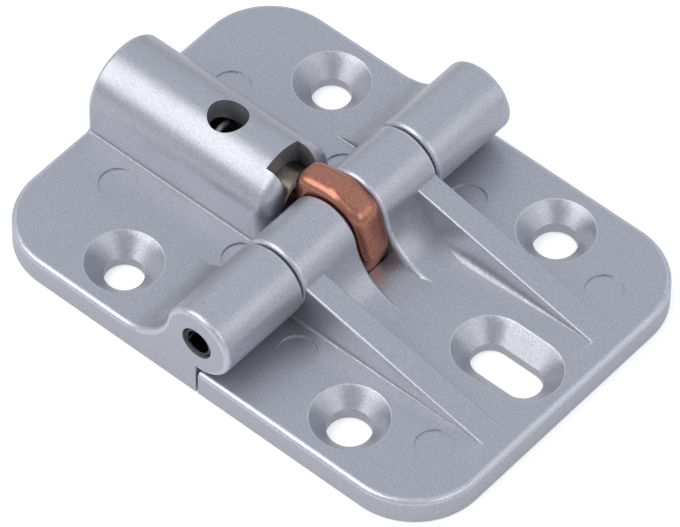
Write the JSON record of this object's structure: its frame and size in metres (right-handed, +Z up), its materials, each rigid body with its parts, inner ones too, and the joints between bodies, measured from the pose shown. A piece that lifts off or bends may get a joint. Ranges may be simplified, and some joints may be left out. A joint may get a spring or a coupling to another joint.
{
  "type": "furniture hinge",
  "caption": "Die-cast furniture hinge that folds flat on itself, with a copper detent cam over the pin and a sprung plunger in a barrel that holds it open.",
  "frame": {"origin": "middle of the open hinge, on the plane of its mounting faces, under the pin", "axes": "+X from the pin towards the end of the moving leaf, +Y along the pin, +Z up from the mounting faces"},
  "size_m": [0.063, 0.0466, 0.0136],
  "materials": {
    "lacquered_zinc": "satin silver lacquer with fine metal flake",
    "pin_steel": "dark oiled spring steel",
    "copper_plate": "satin copper plate on steel",
    "plunger_steel": "greased dark steel",
    "spring_steel": "drawn spring wire"
  },
  "bodies": {
    "fixed": {"fixed_leaf": "lacquered_zinc", "hinge_pin": "pin_steel", "spring": "spring_steel"},
    "moving": {"moving_leaf": "lacquered_zinc", "detent_cam": "copper_plate"},
    "plunger": {"plunger": "plunger_steel"}
  },
  "joints": [
    {"name": "leaf_fold", "type": "hinge", "parent": "fixed", "child": "moving", "pos_m": [0, 0, 0.0083], "axis": [0, -1, 0], "range_deg": [0, 180]},
    {"name": "plunger_slide", "type": "slide", "parent": "fixed", "child": "plunger", "axis": [1, 0, 0], "range_m": [-0.0064, 0], "deforming": ["spring"]}
  ],
  "couplings": [
    {"joint": "plunger_slide", "follows": "leaf_fold", "m_per_rad": -0.002}
  ]
}
